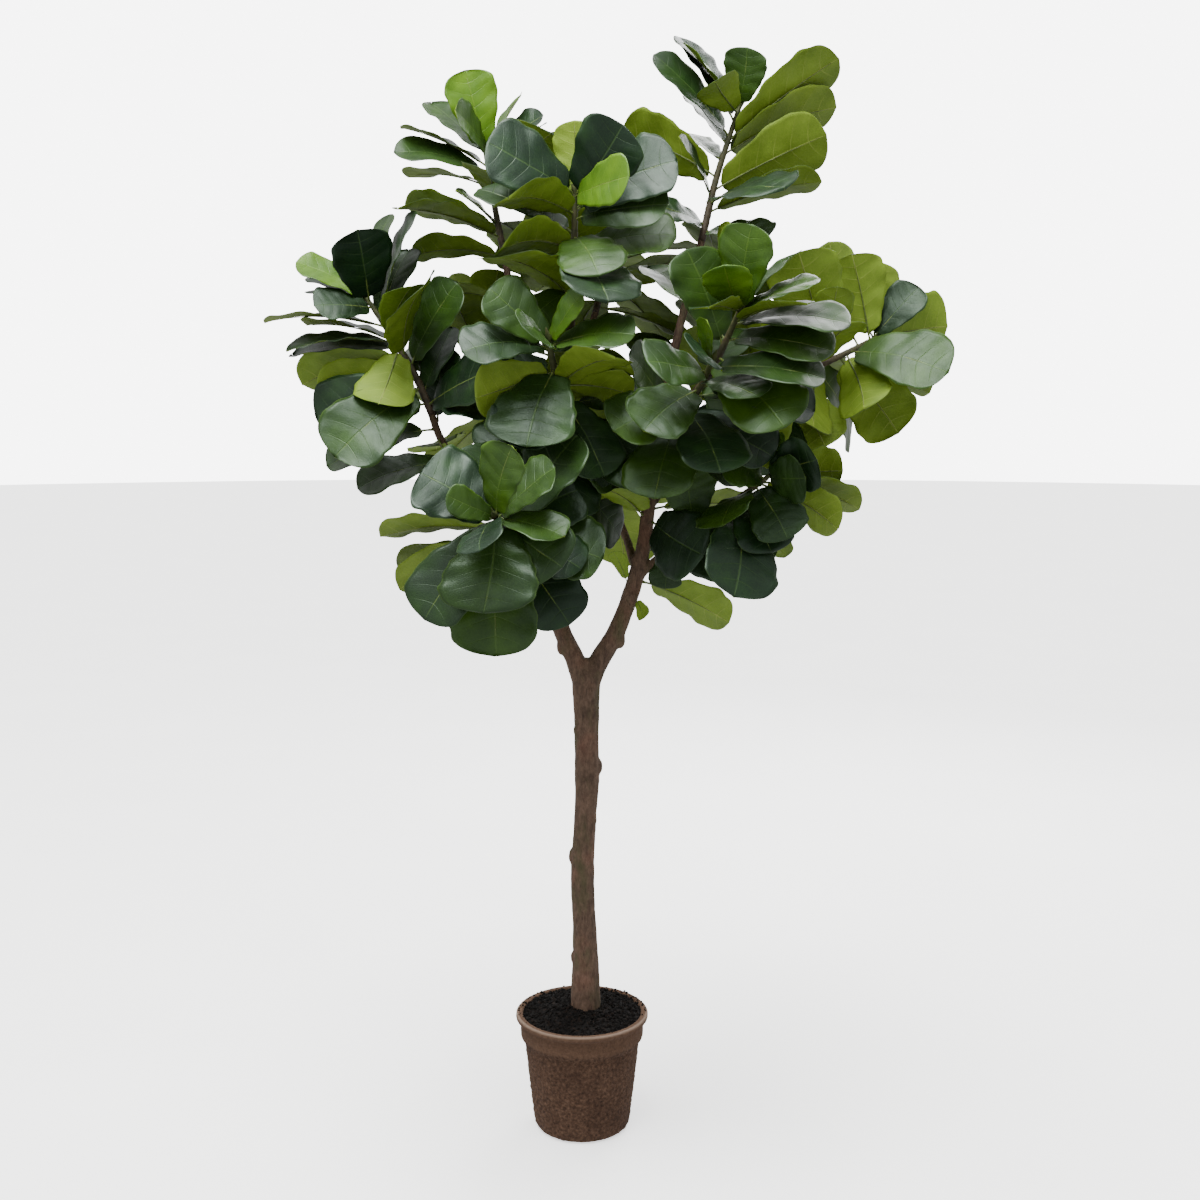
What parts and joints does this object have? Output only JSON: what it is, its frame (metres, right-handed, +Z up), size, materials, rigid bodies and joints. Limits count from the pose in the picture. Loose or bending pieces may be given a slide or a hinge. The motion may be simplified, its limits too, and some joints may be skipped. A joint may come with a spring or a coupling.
{
  "type": "potted fiddle leaf fig",
  "caption": "Fiddle leaf fig grown as a standard tree: a bare forked trunk under a round crown of large leathery leaves, in a moulded fibre pot filled with potting soil.",
  "frame": {"origin": "centre of the pot's flat underside, on the surface it stands on", "axes": "+Z up along the trunk, -Y to the tree's front, +X to its right seen from the front"},
  "size_m": [1.4886, 1.0509, 2.3923],
  "materials": {
    "pot_fibre": "matte",
    "soil": "matte",
    "bark": "matte",
    "foliage": "satin"
  },
  "bodies": {
    "root": {"back_left_shoot": "foliage", "back_right_shoot": "foliage", "back_top_shoot": "foliage", "crown_shoot": "foliage", "far_right_shoot": "foliage", "front_shoot": "foliage", "leaf_far_right_front": "foliage", "leaf_far_right_middle": "foliage", "leaf_far_right_start": "foliage", "leaf_far_right_top": "foliage", "leaf_far_right_under": "foliage", "leaf_fork_left": "foliage", "leaf_leader_back": "foliage", "leaf_leader_front": "foliage", "leaf_leader_front_high": "foliage", "leaf_leader_front_low": "foliage", "leaf_leader_left": "foliage", "leaf_leader_left_low": "foliage", "leaf_leader_low_back": "foliage", "leaf_leader_low_left": "foliage", "leaf_leader_right": "foliage", "leaf_leader_right_front": "foliage", "leaf_leader_right_low": "foliage", "leaf_left_back": "foliage", "leaf_left_hanging": "foliage", "leaf_left_lower": "foliage", "leaf_left_lowest": "foliage", "leaf_left_upright": "foliage", "leaf_limb_back_high": "foliage", "leaf_limb_front": "foliage", "leaf_limb_front_high": "foliage", "leaf_limb_front_low": "foliage", "leaf_limb_left_high": "foliage", "leaf_limb_left_low": "foliage", "leaf_limb_left_upper": "foliage", "leaf_limb_right_back": "foliage", "leaf_limb_right_high": "foliage", "leaf_limb_right_low": "foliage", "leaf_limb_right_middle": "foliage", "leaf_limb_right_upper": "foliage", "leaf_low_right_front": "foliage", "leaf_low_right_outer": "foliage", "leaf_low_right_under": "foliage", "leaf_low_right_up": "foliage", "leaf_over_fork": "foliage", "leaf_spur_down": "foliage", "leaf_spur_up": "foliage", "leaf_top_left_low": "foliage", "leaf_top_right_low": "foliage", "left_shoot": "foliage", "low_back_shoot": "foliage", "low_front_shoot": "foliage", "low_right_shoot": "foliage", "middle_shoot": "foliage", "pot": "pot_fibre", "right_shoot": "foliage", "soil": "soil", "top_left_shoot": "foliage", "top_right_shoot": "foliage", "trunk_and_branches": "bark"}
  },
  "joints": []
}
